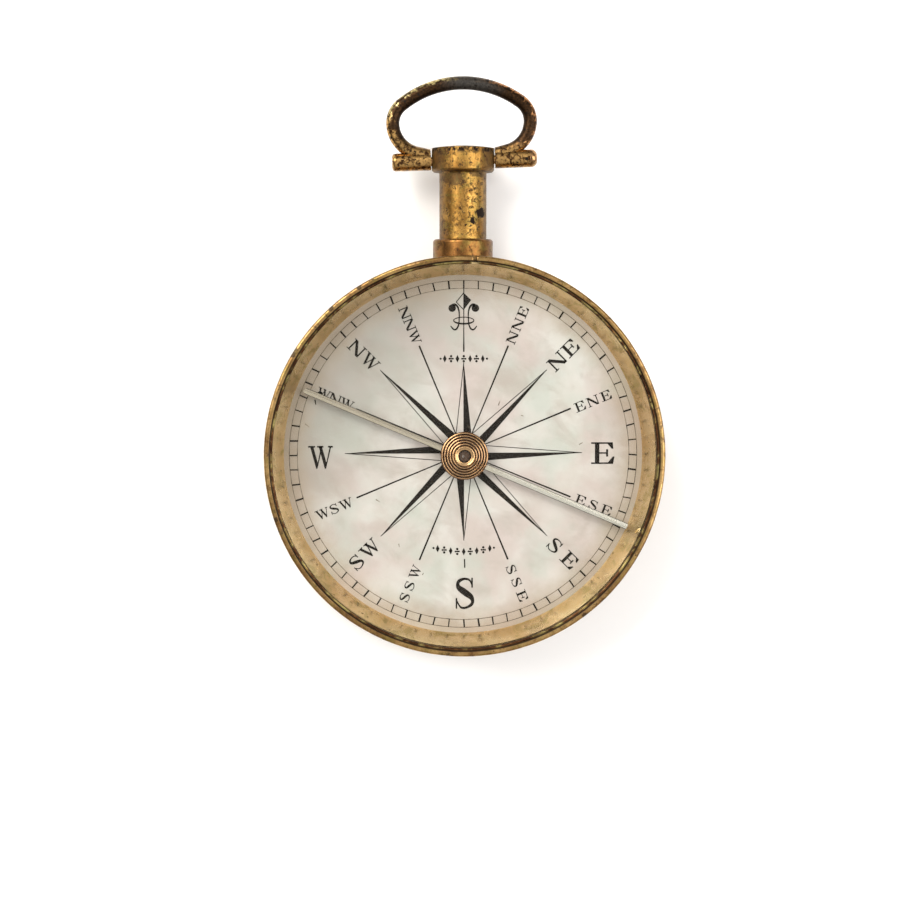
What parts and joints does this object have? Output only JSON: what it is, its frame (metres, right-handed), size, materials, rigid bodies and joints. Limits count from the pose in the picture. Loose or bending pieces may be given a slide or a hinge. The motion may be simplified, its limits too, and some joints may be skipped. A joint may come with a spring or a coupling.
{
  "type": "pocket compass",
  "caption": "Pocket compass in a round gilt-brass case with a glazed rose dial, pivoted steel needle, push-in pendant lock and folding oval bow.",
  "frame": {"origin": "centre of the flat outside face of the case's back", "axes": "+Z out through the dial and glass, +Y along the pendant towards the bow, +X towards the dial's east"},
  "size_m": [0.04, 0.0581, 0.01],
  "materials": {
    "gilt_brass": "worn fire gilding with brown and black patina",
    "worn_bow_brass": "worn gilding, dark grey patina on top",
    "polished_brass": "polished, a little mellowed",
    "turned_brass": "fine turned rings",
    "plain_brass": "satin",
    "clear_glass": "clear",
    "dial_enamel": "white vitreous enamel, slightly mottled",
    "bright_steel": "polished",
    "needle_steel": "bright, lightly tarnished",
    "dial_ink": "printed ink, slightly worn",
    "agate": "polished"
  },
  "bodies": {
    "case": {"case_band": "gilt_brass", "case_back": "gilt_brass", "pendant_collar": "gilt_brass", "dial_plate": "dial_enamel", "rehaut_ring": "polished_brass", "glass": "clear_glass", "glass_snap_ring": "polished_brass", "pivot_base": "plain_brass", "pivot_post": "bright_steel", "lever_bracket": "plain_brass", "lever_screws": "bright_steel", "lever_pin": "bright_steel"},
    "lever": {"lift_lever": "plain_brass"},
    "sleeve": {"lift_collar": "plain_brass"},
    "needle": {"needle_blade": "needle_steel", "needle_cap": "turned_brass", "needle_jewel": "agate", "needle_collet": "plain_brass"},
    "pendant": {"pendant_stem": "gilt_brass", "plunger_wedge": "plain_brass", "wedge_pin": "bright_steel"},
    "bow": {"bow": "worn_bow_brass", "bow_screw": "worn_bow_brass"}
  },
  "joints": [
    {"name": "lock_push", "type": "slide", "parent": "case", "child": "pendant", "axis": [0, -1, 0], "range_m": [0, 0.0012]},
    {"name": "lever_tilt", "type": "hinge", "parent": "case", "child": "lever", "pos_m": [0, 0.007, 0.0029], "axis": [-1, 0, 0], "range_deg": [0, 3.3]},
    {"name": "sleeve_lift", "type": "slide", "parent": "case", "child": "sleeve", "axis": [0, 0, 1], "range_m": [0, 0.00041]},
    {"name": "needle_spin", "type": "hinge", "parent": "sleeve", "child": "needle", "pos_m": [0, 0, 0.0079], "axis": [0, 0, 1], "continuous": true},
    {"name": "bow_swing", "type": "hinge", "parent": "pendant", "child": "bow", "pos_m": [0, 0.02968, 0.0047], "axis": [0.9994, 0.0349, 0], "range_deg": [-145, 145]}
  ],
  "couplings": [
    {"joint": "lever_tilt", "follows": "lock_push", "rad_per_m": 47.645},
    {"joint": "sleeve_lift", "follows": "lock_push", "ratio": 0.33333}
  ]
}
